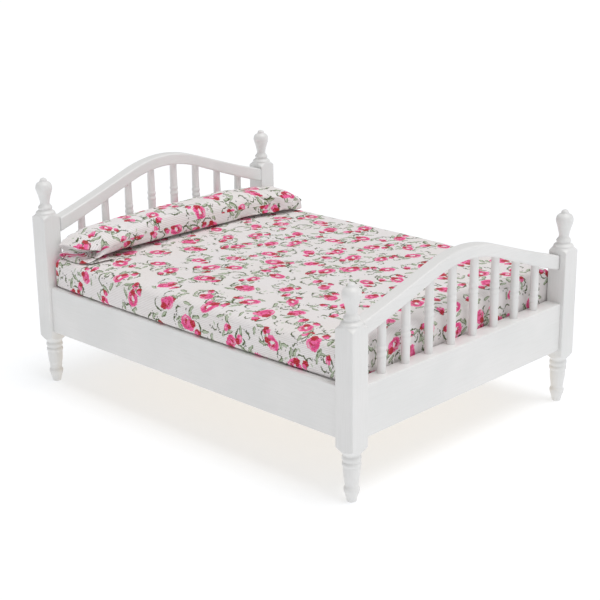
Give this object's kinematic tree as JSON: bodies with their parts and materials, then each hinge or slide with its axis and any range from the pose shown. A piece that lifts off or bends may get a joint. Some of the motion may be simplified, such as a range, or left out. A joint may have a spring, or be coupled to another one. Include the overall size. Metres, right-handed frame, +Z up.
{
  "type": "miniature bed",
  "caption": "Dolls' house low-post bed: turned posts with finials, arched spindle head and foot boards, loose mattress and bolster pillow.",
  "frame": {"origin": "on the floor, at the middle of the four legs' footprint", "axes": "+Z up, +Y from foot to head along the bed, +X across the bed"},
  "size_m": [0.13, 0.174, 0.0869],
  "materials": {
    "painted_wood": "satin white paint over fine wood grain",
    "bare_wood": "bare sanded softwood",
    "printed_cotton": "matt ribbed off-white cotton with a small printed rose sprig pattern"
  },
  "bodies": {
    "bedstead": {"post_head_left": "painted_wood", "post_head_right": "painted_wood", "head_lower_rail": "painted_wood", "head_arch_rail": "painted_wood", "head_spindle_1": "painted_wood", "head_spindle_2": "painted_wood", "head_spindle_3": "painted_wood", "head_spindle_4": "painted_wood", "head_spindle_5": "painted_wood", "head_spindle_6": "painted_wood", "head_spindle_7": "painted_wood", "head_spindle_8": "painted_wood", "post_foot_left": "painted_wood", "post_foot_right": "painted_wood", "foot_lower_rail": "painted_wood", "foot_arch_rail": "painted_wood", "foot_spindle_1": "painted_wood", "foot_spindle_2": "painted_wood", "foot_spindle_3": "painted_wood", "foot_spindle_4": "painted_wood", "foot_spindle_5": "painted_wood", "foot_spindle_6": "painted_wood", "foot_spindle_7": "painted_wood", "foot_spindle_8": "painted_wood", "side_rail_left": "painted_wood", "side_rail_right": "painted_wood", "cleat_left": "bare_wood", "cleat_right": "bare_wood", "bed_base": "bare_wood"},
    "mattress": {"mattress": "printed_cotton"},
    "pillow": {"pillow": "printed_cotton"}
  },
  "joints": [
    {"name": "mattress_lift", "type": "slide", "parent": "bedstead", "child": "mattress", "axis": [0, 0, 1], "range_m": [0, 0.055]},
    {"name": "pillow_lift", "type": "slide", "parent": "mattress", "child": "pillow", "axis": [0, 0, 1], "range_m": [0, 0.035]}
  ]
}
